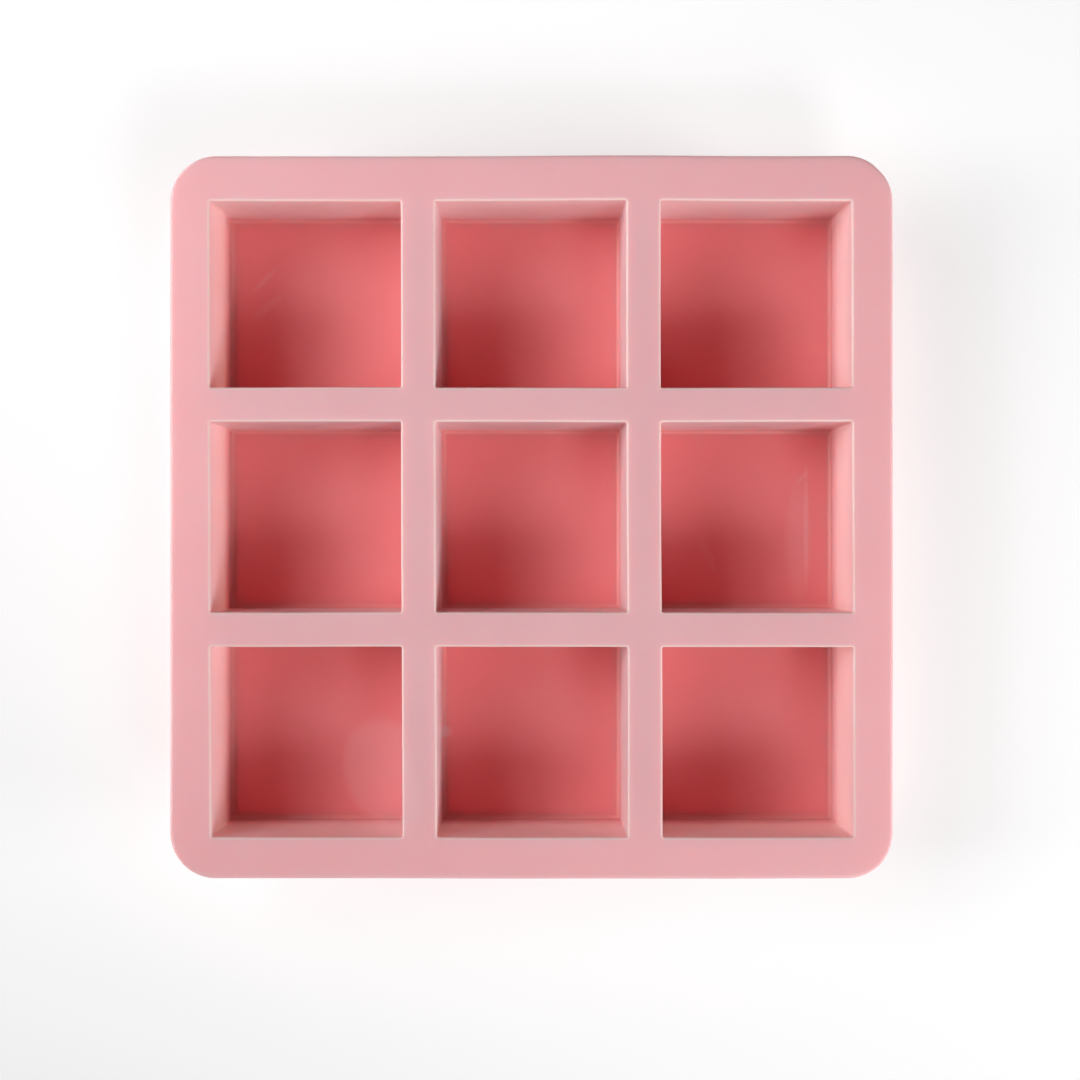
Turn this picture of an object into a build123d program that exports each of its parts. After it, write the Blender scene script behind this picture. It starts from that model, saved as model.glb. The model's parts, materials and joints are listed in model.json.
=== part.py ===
"""Nine-cup square silicone soap mould.

The frame is +Z up, with the origin on the table under the middle of the mould. +X runs to the right along a row
of cups and +Y to the back. A square deck carries three rows of three square cups, which hang from it side by side,
and a narrow flange runs round the deck as a grip. The whole object is one soft moulding. Each zone of it is a solid
of its own here, and the zones meet face to face, except at two places that give way in use:

- A cup's floor stands a hair's breadth clear of its walls, so that it can be pushed up to free the bar.
- The deck and flange are cut along the web between the centre and right columns of cups, where the right column
  folds up from the others.
"""

import math
import os

from build123d import *

# Driving dimensions, in millimetres.
overall_side = 190.0  # outside of the flange
flange_corner = 12.0
cups_per_side = 3
cup_pitch = 59.0  # from the middle of one cup to the middle of the next
mouth_side = 50.0  # a cup's opening, measured in the top face
mouth_corner = 1.2
cup_depth = 25.0  # from the top face down to a cup's floor
floor_thickness = 2.5
deck_thickness = 2.5
wall_thickness = 2.2
floor_inset = 0.2  # how much nearer its middle a wall stands at the floor than at the deck
push_gap = 0.1  # between a floor and the walls round it
fold_gap = 0.2  # between the two halves of the deck, along the fold

# Rounding of edges that are seen or handled.
flange_round = 1.0
mouth_round = 0.6
foot_round = 1.5

# Sizes and places that follow from the driving ones.
overall_height = cup_depth + floor_thickness
deck_underside = overall_height - deck_thickness
draft = math.degrees(math.atan(floor_inset / cup_depth))
cup_side = mouth_side + 2 * wall_thickness
cup_corner = mouth_corner + wall_thickness
plate_side = (cups_per_side - 1) * cup_pitch + cup_side
floor_side = mouth_side - 2 * floor_inset * deck_underside / cup_depth - 2 * push_gap
fold_line = cup_pitch / 2
main_side = {"bisect_by": Plane.YZ.offset(fold_line - fold_gap / 2), "keep": Keep.BOTTOM}
fold_side = {"bisect_by": Plane.YZ.offset(fold_line + fold_gap / 2), "keep": Keep.TOP}

# The names of the cups' places: rows from back to front, and columns from left to right.
rows = {"back": cup_pitch, "middle": 0.0, "front": -cup_pitch}
columns = {"left": -cup_pitch, "centre": 0.0, "right": cup_pitch}


def make_rim_flange(side):
    """The grip that runs round the outside of the deck, on one side of the fold."""
    with BuildPart() as flange:
        with BuildSketch(Plane.XY.offset(deck_underside)):
            RectangleRounded(overall_side, overall_side, flange_corner)
            RectangleRounded(plate_side, plate_side, cup_corner, mode=Mode.SUBTRACT)
        extrude(amount=deck_thickness)
        top = flange.faces().sort_by(Axis.Z)[-1]
        bottom = flange.faces().sort_by(Axis.Z)[0]
        fillet(top.outer_wire().edges() + bottom.outer_wire().edges(), flange_round)
        split(**side)
    return flange


def make_deck_plate(side):
    """The flat plate between and around the mouths, which ties the cups together, on one side of the fold."""
    with BuildPart() as deck:
        with BuildSketch(Plane.XY.offset(deck_underside)):
            RectangleRounded(plate_side, plate_side, cup_corner)
            with GridLocations(cup_pitch, cup_pitch, cups_per_side, cups_per_side):
                RectangleRounded(mouth_side, mouth_side, mouth_corner, mode=Mode.SUBTRACT)
        extrude(amount=deck_thickness)
        top = deck.faces().sort_by(Axis.Z)[-1]
        mouth_edges = [edge for wire in top.inner_wires() for edge in wire.edges()]
        fillet(mouth_edges, mouth_round)
        split(**side)
    return deck


def make_cup_walls(x, y):
    """The four walls of one cup, from the deck's underside down to the table, with a little draft."""
    under_deck = Plane(origin=(x, y, deck_underside), z_dir=(0, 0, -1))
    with BuildPart() as walls:
        with BuildSketch(under_deck):
            RectangleRounded(cup_side, cup_side, cup_corner)
        extrude(amount=deck_underside, taper=draft)
        foot = walls.faces().sort_by(Axis.Z)[0]
        fillet(foot.outer_wire().edges(), foot_round)
        with BuildSketch(under_deck):
            RectangleRounded(mouth_side, mouth_side, mouth_corner)
        extrude(amount=deck_underside, taper=draft, mode=Mode.SUBTRACT)
    return walls


def make_cup_floor(x, y):
    """The floor of one cup, which a thumb pushes up from below."""
    with BuildPart() as floor:
        with BuildSketch(Plane((x, y, 0))):
            RectangleRounded(floor_side, floor_side, mouth_corner)
        extrude(amount=floor_thickness)
    return floor


def write(piece, name):
    """Labels a finished piece and writes it as the node of that name."""
    piece.part.label = name
    export_step(piece.part, f"parts/{name}.step")


os.makedirs("parts", exist_ok=True)
write(make_rim_flange(main_side), "rim_flange_main")
write(make_rim_flange(fold_side), "rim_flange_fold")
write(make_deck_plate(main_side), "deck_plate_main")
write(make_deck_plate(fold_side), "deck_plate_fold")
for row, y in rows.items():
    for column, x in columns.items():
        write(make_cup_walls(x, y), f"cup_walls_{row}_{column}")
        write(make_cup_floor(x, y), f"cup_floor_{row}_{column}")
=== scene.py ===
"""Looks of the silicone soap mould: one soft pink moulding, with nine cups whose floors can be pushed up."""

import json
import math

import bmesh
import bpy
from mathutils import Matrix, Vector, noise
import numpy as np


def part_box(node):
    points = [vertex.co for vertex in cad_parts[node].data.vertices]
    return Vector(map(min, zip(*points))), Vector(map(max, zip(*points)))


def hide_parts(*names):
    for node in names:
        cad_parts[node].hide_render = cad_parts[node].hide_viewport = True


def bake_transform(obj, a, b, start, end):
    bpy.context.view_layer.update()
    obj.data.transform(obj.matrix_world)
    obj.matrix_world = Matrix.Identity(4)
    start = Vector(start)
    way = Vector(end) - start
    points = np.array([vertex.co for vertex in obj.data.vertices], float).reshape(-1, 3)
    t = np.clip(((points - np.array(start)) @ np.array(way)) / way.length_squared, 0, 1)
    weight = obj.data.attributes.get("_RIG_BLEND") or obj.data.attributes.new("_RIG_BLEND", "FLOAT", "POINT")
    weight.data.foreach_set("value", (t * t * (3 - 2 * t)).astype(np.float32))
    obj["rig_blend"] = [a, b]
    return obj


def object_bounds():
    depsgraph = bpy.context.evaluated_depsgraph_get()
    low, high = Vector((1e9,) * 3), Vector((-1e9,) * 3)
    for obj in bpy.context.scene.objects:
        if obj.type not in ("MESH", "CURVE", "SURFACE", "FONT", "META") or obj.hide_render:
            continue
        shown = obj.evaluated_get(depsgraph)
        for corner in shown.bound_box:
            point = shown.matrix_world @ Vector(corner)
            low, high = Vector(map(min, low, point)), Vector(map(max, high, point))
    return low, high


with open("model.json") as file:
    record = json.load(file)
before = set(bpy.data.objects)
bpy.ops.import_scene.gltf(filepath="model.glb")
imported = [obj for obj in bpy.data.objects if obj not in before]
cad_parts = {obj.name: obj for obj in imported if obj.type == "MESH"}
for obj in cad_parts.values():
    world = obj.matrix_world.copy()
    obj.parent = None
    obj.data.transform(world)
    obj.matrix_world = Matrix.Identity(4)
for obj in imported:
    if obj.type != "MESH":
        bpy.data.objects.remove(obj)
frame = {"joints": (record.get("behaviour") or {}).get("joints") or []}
cad_low, cad_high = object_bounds()

MM = 0.001

# The rows and columns of cups, each with its place in pitches from the middle.
ROWS = {"back": 1, "middle": 0, "front": -1}
COLUMNS = {"left": -1, "centre": 0, "right": 1}

# Places in the frame.
SIDE = cad_high.x - cad_low.x
HEIGHT = cad_high.z
DECK_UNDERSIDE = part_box("deck_plate_main")[0].z
CUP_LOW, CUP_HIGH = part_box("cup_walls_middle_centre")
FLOOR_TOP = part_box("cup_floor_middle_centre")[1].z
FOLD = next(joint for joint in frame["joints"] if joint["name"] == "fold_right_column")
FOLD_X = FOLD["pos_m"][0]
PITCH = 2 * FOLD_X

# Sizes of the skin's details.
WALL = 2.2 * MM
FLOOR_INSET = 0.2 * MM  # the draft of a wall, from the deck to the table
MOUTH_CORNER = 0.5 * MM
MOUTH_ROUND = 0.45 * MM
FILLET = 1.2 * MM  # where a floor runs into its walls
FLANGE_CORNER = 12 * MM
FLANGE_ROUND = 1.0 * MM
FOOT_ROUND = 1.5 * MM
ROOT_ROUND = 0.8 * MM  # where a cup's outside meets the deck
HOLD = 0.15 * MM  # a thin ring beside a rounded edge, which keeps the flat next to it flat
HAIRLINE = 0.02 * MM  # between a floor and the walls round it
CREASE = math.radians(40)  # an edge that turns by more than this is sharp
MERGE = 0.001 * MM  # vertices nearer to each other than this are one

# How the soft mould lies: amounts at the deck's height, which fade to nothing at the table.
WANDER = 0.22 * MM
WANDER_LENGTH = 45 * MM
WANDER_PLACES = ((3.1, 7.7, 1.3), (11.4, 2.9, 5.6), (6.8, 13.2, 9.5))  # in the noise, one for each axis
SHRINK = 0.0018  # keeps the wander inside the CAD box
SAG = 0.12 * MM
DROOP = 0.18 * MM  # at the flange's outer edge
SKEW = 0.3 * MM  # the front to the right and the back to the left
BACK_DRAW = 1.0 * MM  # the back row's mouths are drawn in at their back edge

# Where those change, and over how far, as shares of the way from the middle to the outside.
MARGIN_START, MARGIN_RISE = 0.9, 0.1  # the droop grows there, and the skew and the draw fade
BACK_DRAW_START, BACK_DRAW_RISE = 0.62, 0.2

# Mesh attributes that the material reads.
TONE = "tone"  # which pair of TONES, or between two of them
SCATTER = "scatter"  # how far light travels in the rubber there
REST_PLACE = "rest_place"  # where a point is when nothing is bent, so that the pattern stays on the rubber

# Looks: the tone, and the scatter.
DECK = (0.0, 4.0 * MM)
# The mouths' edges take tone 1, paler than the deck: a painted highlight on top of the light that their real rounding
# catches.
EDGE_HIGHLIGHT = (1.0, 4.0 * MM)
CUP_WALL = (2.0, 12.0 * MM)
# The walls' feet and the floors' fillets take tone 3, redder and lighter than the floors: a painted glow of light
# coming through the walls.
WALL_FOOT = (3.0, 0.1 * MM)  # short, because light that reaches the joint between a wall and its floor is lost
FLOOR_FILLET = (3.0, 0.3 * MM)
FILLET_LIP = (3.0, 0.02 * MM)  # shorter still, because the fillet ends in a thin lip
# The floors take tone 4, deeper than the deck: painted shade in the cups.
FLOOR_RIM = (4.0, 1.0 * MM)
CUP_FLOOR = (4.0, 4.0 * MM)
SCATTER_RISE = 8 * MM  # how far up a wall the scatter takes to grow to its full length

# Sizes and places that follow from the others.
CUP_HALF = (CUP_HIGH.x - CUP_LOW.x) / 2
MOUTH_HALF = CUP_HALF - WALL
CORE = MOUTH_HALF - MOUTH_CORNER  # every ring round a cup is this square, grown outward with round corners
TILE_HALF = PITCH / 2
SEAM = FLOOR_TOP + FILLET  # the height where a floor's fillet meets the wall

# The silicone: colours for the darkest and lightest of the mottling.
TONES = (
    ((0.95, 0.52, 0.55, 1), (0.97, 0.54, 0.57, 1)),  # the deck
    ((0.98, 0.63, 0.61, 1), (0.99, 0.67, 0.65, 1)),  # the edges of the mouths: paler than the deck, a painted highlight along their rounding
    ((0.92, 0.52, 0.54, 1), (0.94, 0.55, 0.57, 1)),  # the walls
    ((0.96, 0.38, 0.37, 1), (0.97, 0.41, 0.40, 1)),  # the fillets at their feet: redder and lighter than the floors, a painted glow of light coming through the walls
    ((0.91, 0.34, 0.35, 1), (0.93, 0.36, 0.37, 1)),  # the floors: deeper than the deck, painted shade in the cups
)
SSS_WEIGHT = 0.75
SSS_RADIUS = (1.0, 0.65, 0.55)
IOR = 1.41

# Its fine detail: noises in waves to the metre, with the octaves added to them.
MOTTLE, MOTTLE_DETAIL = 45, 1
MOTTLE_SPREAD = (-0.5, 1.5)  # past 0 and 1, so that the mottling has more contrast
SMEAR, SMEAR_DETAIL = 90, 2
SMEAR_ROUGHNESS = (0.48, 0.58)
TONE_GLOSS = -0.045  # added for each step of the tone; under a roughness of 0.28 the denoiser outlines the smears
GRAIN, GRAIN_DETAIL = 1800, 2
MARK_RELIEF = 2.0  # a mark's height against the grain's
BUMP_STRENGTH = 0.12
BUMP_DISTANCE = 0.05 * MM

# Marks of use and painted sheen, in millimetres: middle, turn about +Z in degrees, half sizes, hardness of the edge,
# and strength.
# The pale tone of the marks, also used for the painted reflection and the painted highlight.
MARK_AND_SHEEN_TONE = (0.97, 0.62, 0.64, 1)
THROUGH = 60  # a half height so large that the mark doesn't fade as its floor is pushed up
MARKS_AND_SHEEN = (
    ((-74.5, 66.8, 2.5), 45, (5.5, 0.9, THROUGH), 2, 0.3),  # two smears in the back left cup
    ((-73.7, 59.3, 2.5), 39, (6.0, 1.3, THROUGH), 2, 0.2),
    ((76.9, -2.0, 2.5), 90, (20.0, 0.8, THROUGH), 2, 0.35),  # a streak in the middle right cup, and the haze beside it
    ((75.9, 11.8, 2.5), 50, (3.0, 0.7, THROUGH), 2, 0.3),
    ((74.6, -6.0, 2.5), 90, (19.0, 4.2, THROUGH), 2, 0.2),
    ((49.1, -9.6, 2.5), 115, (6.0, 1.6, THROUGH), 2, 0.12),
    ((-40.0, -71.0, 2.5), 20, (13.0, 17.0, THROUGH), 5, 0.3),  # a pale patch in the front left cup: a painted reflection
    ((-24.2, -59.3, 5.0), 0, (2.6, 2.2, 9.0), 2, 0.5),  # a nub on the left wall of the front centre cup
    ((-59.0, -27.7, 27.4), 0, (0.7, 0.7, 1.0), 1, 0.6),  # a pimple on the front rib, with a painted highlight on it
)

# How finely the skin is divided.
SIDE_STEPS = 16
CORNER_STEPS = 5  # in half a corner
ROUND_STEPS = 6
TOP_STEPS = 7  # on the deck, from a mouth to the edge of the cup's share
WALL_STEPS = 8

DOME_POWER = 1.5  # how sharply a floor domes up under a thumb

# The table, which glows a little so that shadows on it stay faint, and the surround.
TABLE_SIDE = 6
TABLE_DROP = 0.05 * MM  # under the mould's feet
TABLE_TONE = (0.6, 0.6, 0.6, 1)
TABLE_ROUGHNESS = 0.8
TABLE_GLOW = 0.5
SURROUND_TONE = (0.52, 0.52, 0.52, 1)

# The lights: name, azimuth from +X towards +Y and elevation in degrees, distance, size, power in watts, the point of
# the table that it looks at, and spread in degrees.
LIGHTS = (
    ("left_window", 180, 15, 0.9, 0.4, 1.2, (0, 0), 180),
    ("left_grid", 180, 30, 0.9, 0.4, 0.6, (0, 0.1), 60),
    ("back_left_grid", 150, 40, 0.7, 0.3, 0.3, (-0.05, 0.1), 80),
    ("right_box", 345, 18, 0.9, 0.35, 4.6, (0, 0), 180),
    ("front_right_high", 330, 45, 0.9, 0.3, 0.25, (0, 0), 180),
    ("front_grid", 300, 40, 0.9, 0.3, 0.32, (0.08, 0.05), 60),
)

# The camera.
LENS = 46.16
SENSOR = 36
CAMERA_SHIFT = (0.0125, 0.0106)
CAMERA_PLACE = (-1.3 * MM, -9.0 * MM, 389.8 * MM)


def quarter_turns(x, y, turns):
    """The point (x, y), turned by that many quarter turns."""
    for _ in range(turns % 4):
        x, y = -y, x
    return x, y


def ring_stations():
    """The stations round a cup: (quarter turn, place along the side from -1 to 1, None) on a side, and (quarter turn,
    None, place in the unit square) in a corner."""
    stations = []
    for turn in range(4):
        for step in range(SIDE_STEPS):
            stations.append((turn, 2 * step / SIDE_STEPS - 1, None))
        for step in range(CORNER_STEPS):
            stations.append((turn, None, (1.0, step / CORNER_STEPS)))
        for step in range(CORNER_STEPS, 0, -1):
            stations.append((turn, None, (step / CORNER_STEPS, 1.0)))
    return stations


STATIONS = ring_stations()


def square_to_round(a, b):
    """Takes a point of the unit square to the unit disc, so that a corner becomes an arc."""
    return a * math.sqrt(1 - b * b / 2), b * math.sqrt(1 - a * a / 2)


def cup_ring(half):
    """A square ring of that half side about a cup's middle, with round corners where it is larger than the core."""
    core = min(CORE, half)
    points = []
    for turn, along, corner in STATIONS:
        if corner is None:
            x, y = half, core * along
        else:
            a, b = square_to_round(*corner)
            x, y = core + (half - core) * a, core + (half - core) * b
        points.append(quarter_turns(x, y, turn))
    return points


def tile_ring(column, row, inset):
    """The edge of the deck's share round a cup. It is square next to other cups, and follows the flange's outline,
    that far in from it, on the outside. Also gives each point's outward direction, or None next to another cup."""
    reach = SIDE / 2 - PITCH - inset
    arc_centre = SIDE / 2 - PITCH - FLANGE_CORNER
    points = []
    outward = []
    for turn, along, corner in STATIONS:
        directions = [quarter_turns(1, 0, turn), quarter_turns(0, 1, turn)]
        outer = [dx * column > 0 or dy * row > 0 for dx, dy in directions]
        first, second = [reach if side else TILE_HALF for side in outer]
        if corner is None:
            x, y = first, CORE * along
            normal = (1, 0) if outer[0] else None
        elif all(outer):
            a, b = square_to_round(*corner)
            x, y = arc_centre + (FLANGE_CORNER - inset) * a, arc_centre + (FLANGE_CORNER - inset) * b
            normal = (a, b)
        else:
            a, b = corner
            x, y = CORE + (first - CORE) * a, CORE + (second - CORE) * b
            on_outer = outer[0] and a == 1 or outer[1] and b == 1
            normal = ((1, 0) if outer[0] else (0, 1)) if on_outer else None
        points.append(quarter_turns(x, y, turn))
        outward.append(quarter_turns(*normal, turn) if normal else None)
    return points, outward


def arc(steps):
    """Pairs (sine, cosine) along a quarter circle, from 0 to 90 degrees."""
    return [(math.sin(math.pi / 2 * i / steps), math.cos(math.pi / 2 * i / steps)) for i in range(steps + 1)]


def blend_rings(first, second, share):
    """A ring part of the way from one ring to another."""
    return [(x + (u - x) * share, y + (v - y) * share) for (x, y), (u, v) in zip(first, second)]


def smooth_step(value):
    """0 up to 0, 1 from 1 on, and a smooth rise between."""
    value = min(1.0, max(0.0, value))
    return value * value * (3 - 2 * value)


def wall_half(z):
    """Half the inside width of a cup at that height."""
    return MOUTH_HALF - FLOOR_INSET * max(0.0, DECK_UNDERSIDE - z) / DECK_UNDERSIDE


def wall_look(z):
    """The look of a wall's inside at that height. The scatter grows from the foot upward."""
    tone, full = CUP_WALL
    short = WALL_FOOT[1]
    return tone, short + (full - short) * smooth_step((z - SEAM) / SCATTER_RISE)


def cup_profile():
    """Rings from beside the mouth's rounding in the top face, down the inside, under the foot, and up the outside
    to the deck's underside: (half side, height, look)."""
    rings = [(MOUTH_HALF + MOUTH_ROUND + HOLD, HEIGHT, DECK)]
    # The mouth's rounding takes tone 1, a painted highlight.
    for sine, cosine in arc(ROUND_STEPS):
        rings.append((MOUTH_HALF + MOUTH_ROUND * (1 - sine), HEIGHT - MOUTH_ROUND * (1 - cosine), EDGE_HIGHLIGHT))
    lip = HEIGHT - MOUTH_ROUND - HOLD
    low = SEAM + FILLET
    for step in range(WALL_STEPS + 1):
        z = lip + (low - lip) * step / WALL_STEPS
        rings.append((wall_half(z), z, wall_look(z)))
    # The foot of the inside takes tone 3, a painted glow.
    rings.append((wall_half(SEAM), SEAM, WALL_FOOT))
    rings.append((wall_half(0), 0.0, WALL_FOOT))
    foot = wall_half(0) + WALL
    for sine, cosine in arc(ROUND_STEPS):
        rings.append((foot - FOOT_ROUND * (1 - sine), FOOT_ROUND * (1 - cosine), CUP_WALL))
    root = DECK_UNDERSIDE - ROOT_ROUND
    for step in range(1, WALL_STEPS):
        z = FOOT_ROUND + (root - FOOT_ROUND) * step / WALL_STEPS
        rings.append((wall_half(z) + WALL, z, CUP_WALL))
    for sine, cosine in arc(ROUND_STEPS):
        rings.append((CUP_HALF + ROOT_ROUND * (1 - cosine), root + ROOT_ROUND * sine, DECK))
    return rings


def flange_profile():
    """The rounded edge of the flange, from the top face to the underside: (inset, height)."""
    rings = []
    for sine, cosine in arc(ROUND_STEPS):
        rings.append((FLANGE_ROUND * (1 - sine), HEIGHT - FLANGE_ROUND * (1 - cosine)))
    for sine, cosine in reversed(arc(ROUND_STEPS)):
        rings.append((FLANGE_ROUND * (1 - sine), DECK_UNDERSIDE + FLANGE_ROUND * (1 - cosine)))
    return rings


def relax(point):
    """Where a point of the perfect mould lies on the soft one: the deck and the walls wander by a few tenths of a
    millimetre, and the flange droops a little, while the feet stay flat and the outline keeps its place."""
    x, y, z = point
    rise = min(1.0, max(0.0, z / DECK_UNDERSIDE))
    spot = Vector((x, y, 0)) / WANDER_LENGTH
    drift = Vector([noise.noise(spot + Vector(start)) for start in WANDER_PLACES])
    u, v = 2 * x / SIDE, 2 * y / SIDE
    margin = (max(abs(u), abs(v)) - MARGIN_START) / MARGIN_RISE
    inside = 1 - smooth_step(margin)
    lean_x = SKEW * (u - v) * inside
    lean_y = -BACK_DRAW * smooth_step((v - BACK_DRAW_START) / BACK_DRAW_RISE) * inside
    droop = max(0.0, margin)
    return Vector((
        x * (1 - SHRINK * rise) + rise * (WANDER * drift.x + lean_x),
        y * (1 - SHRINK * rise) + rise * (WANDER * drift.y + lean_y),
        z - rise * (SAG + DROOP * droop + SAG * drift.z),
    ))


def finish_mesh(bm, name):
    """Turns a bmesh into an object, smooth but for its sharp corners."""
    bmesh.ops.remove_doubles(bm, verts=bm.verts, dist=MERGE)
    bmesh.ops.recalc_face_normals(bm, faces=bm.faces)
    for face in bm.faces:
        face.smooth = True
    for edge in bm.edges:
        edge.smooth = len(edge.link_faces) == 2 and edge.calc_face_angle() < CREASE
    mesh = bpy.data.meshes.new(name)
    bm.to_mesh(mesh)
    bm.free()
    rest_place = mesh.attributes.new(REST_PLACE, "FLOAT_VECTOR", "POINT")
    for vertex in mesh.vertices:
        rest_place.data[vertex.index].vector = vertex.co
    piece = bpy.data.objects.new(name, mesh)
    bpy.context.scene.collection.objects.link(piece)
    return piece


def add_strip(bm, first, second, closed=True):
    """Quads between two rings of vertices with the same number of stations."""
    count = len(first)
    for i in range(count if closed else count - 1):
        j = (i + 1) % count
        bm.faces.new((first[i], first[j], second[j], second[i]))


def new_bmesh():
    """An empty bmesh with the attributes that add_vertex sets."""
    bm = bmesh.new()
    bm.verts.layers.float.new(TONE)
    bm.verts.layers.float.new(SCATTER)
    return bm


def add_vertex(bm, point, look):
    """A vertex of the soft mould, with its look."""
    vertex = bm.verts.new(relax(point))
    for name, value in zip((TONE, SCATTER), look):
        vertex[bm.verts.layers.float[name]] = value
    return vertex


def add_ring(bm, points, z, look, x0, y0):
    """A ring of vertices about the middle of a cup at (x0, y0)."""
    return [add_vertex(bm, (x + x0, y + y0, z), look) for x, y in points]


def make_skin():
    """The whole moulding but for the cups' floors, as one closed skin."""
    bm = new_bmesh()
    for row in ROWS.values():
        for column in COLUMNS.values():
            x0, y0 = column * PITCH, row * PITCH
            top_edge, outward = tile_ring(column, row, FLANGE_ROUND)
            profile = cup_profile()
            mouth, root = cup_ring(profile[0][0]), cup_ring(profile[-1][0])
            levels = []
            for step in range(TOP_STEPS):
                share = 1 - step / TOP_STEPS
                levels.append((blend_rings(mouth, top_edge, share), HEIGHT, DECK))
            levels += [(cup_ring(half), z, look) for half, z, look in profile]
            for step in range(1, TOP_STEPS + 1):
                levels.append((blend_rings(root, top_edge, step / TOP_STEPS), DECK_UNDERSIDE, DECK))
            rings = [add_ring(bm, points, z, look, x0, y0) for points, z, look in levels]
            for first, second in zip(rings, rings[1:]):
                add_strip(bm, first, second)
            add_flange_edge(bm, top_edge, outward, x0, y0)
    return finish_mesh(bm, "mould_skin")


def add_flange_edge(bm, top_edge, outward, x0, y0):
    """The rounded outer edge of the deck's share round one cup."""
    lines = {}
    for i, (point, normal) in enumerate(zip(top_edge, outward)):
        if normal is None:
            continue
        lines[i] = []
        for inset, z in flange_profile():
            push = FLANGE_ROUND - inset
            place = (point[0] + normal[0] * push + x0, point[1] + normal[1] * push + y0, z)
            lines[i].append(add_vertex(bm, place, DECK))
    for i, line in lines.items():
        following = lines.get((i + 1) % len(top_edge))
        if following:
            add_strip(bm, line, following, closed=False)


def make_floor(row, column):
    """The floor of one cup, as a closed plate that fills the foot of its walls, and runs up into them in a fillet."""
    x0, y0 = COLUMNS[column] * PITCH, ROWS[row] * PITCH
    edge = wall_half(FLOOR_TOP) - HAIRLINE
    flat = edge - FILLET
    inner = flat - 2 * FILLET
    lines = [inner * (2 * i / SIDE_STEPS - 1) for i in range(SIDE_STEPS + 1)]
    bm = new_bmesh()
    for z in (FLOOR_TOP, 0.0):
        grid = [add_ring(bm, [(u, v) for v in lines], z, CUP_FLOOR, x0, y0) for u in lines]
        for first, second in zip(grid, grid[1:]):
            add_strip(bm, first, second, closed=False)
    # The floor's flat takes tone 4, painted shade, and its fillet tone 3, a painted glow.
    profile = [(inner, FLOOR_TOP, CUP_FLOOR), ((inner + flat) / 2, FLOOR_TOP, CUP_FLOOR)]
    looks = [FLOOR_RIM] + [FLOOR_FILLET] * (ROUND_STEPS - 2) + [FILLET_LIP] * 2
    for (sine, cosine), look in zip(arc(ROUND_STEPS), looks):
        profile.append((flat + FILLET * sine, FLOOR_TOP + FILLET * (1 - cosine), look))
    profile += [(wall_half(0) - HAIRLINE, 0.0, WALL_FOOT), (inner, 0.0, CUP_FLOOR)]
    rings = [add_ring(bm, cup_ring(half), z, look, x0, y0) for half, z, look in profile]
    for first, second in zip(rings, rings[1:]):
        add_strip(bm, first, second)
    return finish_mesh(bm, f"cup_floor_skin_{row}_{column}")


def dome_weights(piece, x0, y0):
    reach = wall_half(FLOOR_TOP)
    weights = piece.data.attributes["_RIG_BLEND"].data
    for vertex, weight in zip(piece.data.vertices, weights):
        u = min(1.0, abs(vertex.co.x - x0) / reach)
        v = min(1.0, abs(vertex.co.y - y0) / reach)
        weight.value = ((1 - u * u) * (1 - v * v)) ** DOME_POWER


def mix_colours(tree, factor, first, second):
    """A colour between two colour sockets or values, by a factor socket."""
    mix = tree.nodes.new("ShaderNodeMix")
    mix.data_type = "RGBA"
    tree.links.new(factor, mix.inputs["Factor"])
    for socket, source in ((mix.inputs["A"], first), (mix.inputs["B"], second)):
        if isinstance(source, tuple):
            socket.default_value = source
        else:
            tree.links.new(source, socket)
    return mix.outputs["Result"]


def scale_factor(tree, factor, low, high):
    """A factor socket's 0 to 1 brought to the range from low to high."""
    spread = tree.nodes.new("ShaderNodeMapRange")
    spread.inputs["To Min"].default_value = low
    spread.inputs["To Max"].default_value = high
    tree.links.new(factor, spread.inputs["Value"])
    return spread.outputs["Result"]


def noise_factor(tree, place, scale, detail):
    """A noise of that many waves to the metre."""
    cloud = tree.nodes.new("ShaderNodeTexNoise")
    cloud.inputs["Scale"].default_value = scale
    cloud.inputs["Detail"].default_value = detail
    tree.links.new(place, cloud.inputs["Vector"])
    return cloud.outputs["Fac"]


def read_attribute(tree, name, output):
    """A mesh attribute's output socket."""
    attribute = tree.nodes.new("ShaderNodeAttribute")
    attribute.attribute_name = name
    return attribute.outputs[output]


def multiply_add(tree, first, second, addend=0.0, clamp=False):
    """first * second + addend, each of them a socket or a number."""
    node = tree.nodes.new("ShaderNodeMath")
    node.operation = "MULTIPLY_ADD"
    node.use_clamp = clamp
    for socket, source in zip(node.inputs, (first, second, addend)):
        if isinstance(source, (int, float)):
            socket.default_value = source
        else:
            tree.links.new(source, socket)
    return node.outputs["Value"]


def soft_spot(tree, place, centre, angle, size):
    """1 in the middle of an ellipsoid, which fades to 0 at its skin. The angle is about +Z, in degrees."""
    mapping = tree.nodes.new("ShaderNodeMapping")
    mapping.vector_type = "TEXTURE"
    mapping.inputs["Location"].default_value = [length * MM for length in centre]
    mapping.inputs["Rotation"].default_value = (0, 0, math.radians(angle))
    mapping.inputs["Scale"].default_value = [length * MM for length in size]
    tree.links.new(place, mapping.inputs["Vector"])
    fade = tree.nodes.new("ShaderNodeTexGradient")
    fade.gradient_type = "SPHERICAL"
    tree.links.new(mapping.outputs["Vector"], fade.inputs["Vector"])
    return fade.outputs["Fac"]


def marks_and_sheen_factor(tree, place):
    """Each mark of use, with the painted reflection and the painted highlight among them, added up."""
    total = 0.0
    for centre, angle, size, hardness, strength in MARKS_AND_SHEEN:
        spot = multiply_add(tree, soft_spot(tree, place, centre, angle, size), hardness, clamp=True)
        total = multiply_add(tree, spot, strength, total)
    return total


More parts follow.
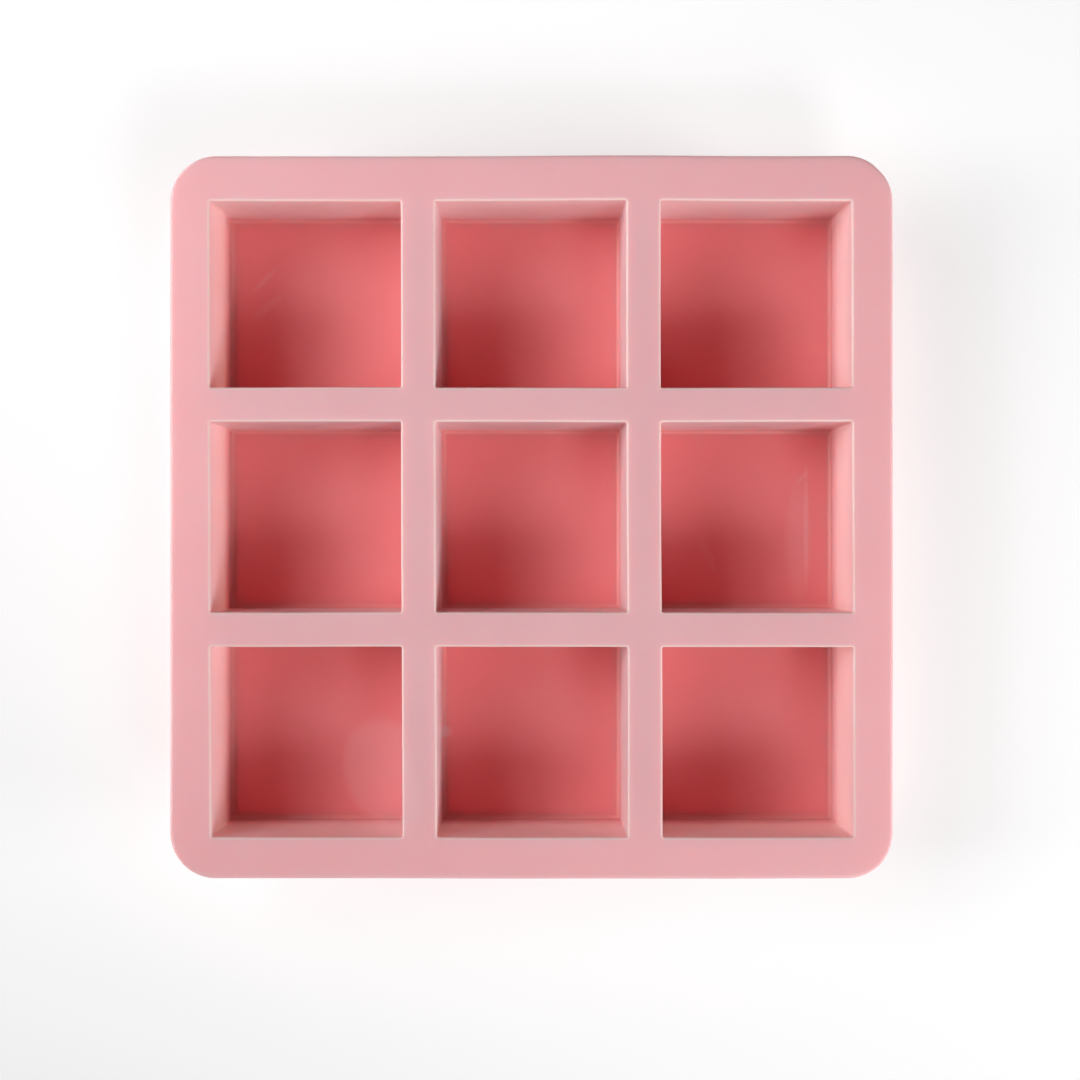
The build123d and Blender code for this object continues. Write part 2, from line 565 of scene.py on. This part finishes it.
def silicone():
    """Pink silicone rubber: translucent and faintly mottled, with a few signs of use, a painted highlight and a
    painted reflection. It is matt on the deck and the walls and smoother on the cups' floors. The floors' deeper
    colour is painted shade, the mouths' paler edges are a painted highlight, and the redder fillets at the walls' feet
    are a painted glow."""
    material = bpy.data.materials.new("pink_silicone")
    material.use_nodes = True
    tree = material.node_tree
    shader = tree.nodes["Principled BSDF"]
    shader.inputs["Subsurface Weight"].default_value = SSS_WEIGHT
    shader.inputs["Subsurface Radius"].default_value = SSS_RADIUS
    shader.inputs["IOR"].default_value = IOR
    tree.links.new(read_attribute(tree, SCATTER, "Fac"), shader.inputs["Subsurface Scale"])
    place = read_attribute(tree, REST_PLACE, "Vector")
    tone = read_attribute(tree, TONE, "Fac")

    cloud = scale_factor(tree, noise_factor(tree, place, MOTTLE, MOTTLE_DETAIL), *MOTTLE_SPREAD)
    # The tones in turn: the deck, the mouths' edges with a painted highlight, the walls, the feet with a painted glow,
    # and the floors with painted shade.
    clean = mix_colours(tree, cloud, *TONES[0])
    for number, pair in enumerate(TONES[1:]):
        share = multiply_add(tree, tone, 1.0, -number, clamp=True)
        clean = mix_colours(tree, share, clean, mix_colours(tree, cloud, *pair))
    # Marks of use, with a painted reflection and a painted highlight among them.
    marks_and_sheen = marks_and_sheen_factor(tree, place)
    tree.links.new(mix_colours(tree, marks_and_sheen, clean, MARK_AND_SHEEN_TONE), shader.inputs["Base Color"])

    smear = scale_factor(tree, noise_factor(tree, place, SMEAR, SMEAR_DETAIL), *SMEAR_ROUGHNESS)
    tree.links.new(multiply_add(tree, tone, TONE_GLOSS, smear), shader.inputs["Roughness"])

    relief = multiply_add(tree, marks_and_sheen, MARK_RELIEF, noise_factor(tree, place, GRAIN, GRAIN_DETAIL))
    bump = tree.nodes.new("ShaderNodeBump")
    bump.inputs["Strength"].default_value = BUMP_STRENGTH
    bump.inputs["Distance"].default_value = BUMP_DISTANCE
    tree.links.new(relief, bump.inputs["Height"])
    tree.links.new(bump.outputs["Normal"], shader.inputs["Normal"])
    return material


def build_mould():
    """The skin and the nine floors, each on the bodies that it follows."""
    material = silicone()
    skin = make_skin()
    skin.data.materials.append(material)
    half_web = TILE_HALF - CUP_HALF
    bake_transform(skin, "mould", "right_column", start=(FOLD_X - half_web, 0, 0), end=(FOLD_X + half_web, 0, 0))
    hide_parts("rim_flange_main", "rim_flange_fold", "deck_plate_main", "deck_plate_fold")
    for row in ROWS:
        for column in COLUMNS:
            cup = f"{row}_{column}"
            floor = make_floor(row, column)
            floor.data.materials.append(material)
            holder = "right_column" if column == "right" else "mould"
            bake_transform(floor, holder, f"floor_{cup}", start=(0, 0, 0), end=(0, 0, FLOOR_TOP))
            dome_weights(floor, COLUMNS[column] * PITCH, ROWS[row] * PITCH)
            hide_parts(f"cup_walls_{cup}")
            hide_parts(f"cup_floor_{cup}")


def add_floor():
    """A plain white table top under the mould."""
    bpy.ops.mesh.primitive_plane_add(size=TABLE_SIDE, location=(0, 0, -TABLE_DROP))
    table = bpy.context.object
    table.name = "table_top"
    material = bpy.data.materials.new("white_table")
    material.use_nodes = True
    shader = material.node_tree.nodes["Principled BSDF"]
    shader.inputs["Base Color"].default_value = TABLE_TONE
    shader.inputs["Roughness"].default_value = TABLE_ROUGHNESS
    shader.inputs["Emission Color"].default_value = (1, 1, 1, 1)
    shader.inputs["Emission Strength"].default_value = TABLE_GLOW
    table.data.materials.append(material)


def add_light(name, azimuth, elevation, distance, size, power, aim, spread):
    """A square white light, one row of LIGHTS."""
    data = bpy.data.lights.new(name, "AREA")
    data.shape = "SQUARE"
    data.size = size
    data.energy = power
    data.spread = math.radians(spread)
    turn, lift = math.radians(azimuth), math.radians(elevation)
    place = distance * Vector((math.cos(turn) * math.cos(lift), math.sin(turn) * math.cos(lift), math.sin(lift)))
    light = bpy.data.objects.new(name, data)
    light.location = place
    light.rotation_euler = (Vector((*aim, 0)) - place).to_track_quat("-Z", "Y").to_euler()
    bpy.context.scene.collection.objects.link(light)


def add_lights():
    """A window at the left and a softbox at the right, both low, and gridded lights that favour the back. The pale
    surround is there to be seen, and gives no light."""
    for light in LIGHTS:
        add_light(*light)
    world = bpy.data.worlds.new("surround")
    world.use_nodes = True
    backdrop = world.node_tree.nodes["Background"]
    backdrop.inputs["Color"].default_value = SURROUND_TONE
    rays = world.node_tree.nodes.new("ShaderNodeLightPath")
    world.node_tree.links.new(rays.outputs["Is Camera Ray"], backdrop.inputs["Strength"])
    bpy.context.scene.world = world


def add_camera():
    """Looks straight down on the mould from above its front half."""
    data = bpy.data.cameras.new("camera")
    data.lens = LENS
    data.sensor_width = SENSOR
    data.shift_x, data.shift_y = CAMERA_SHIFT
    camera = bpy.data.objects.new("camera", data)
    camera.location = CAMERA_PLACE
    bpy.context.scene.collection.objects.link(camera)
    bpy.context.scene.camera = camera


build_mould()
add_floor()
add_lights()
add_camera()
bpy.context.scene.view_settings.view_transform = "Standard"
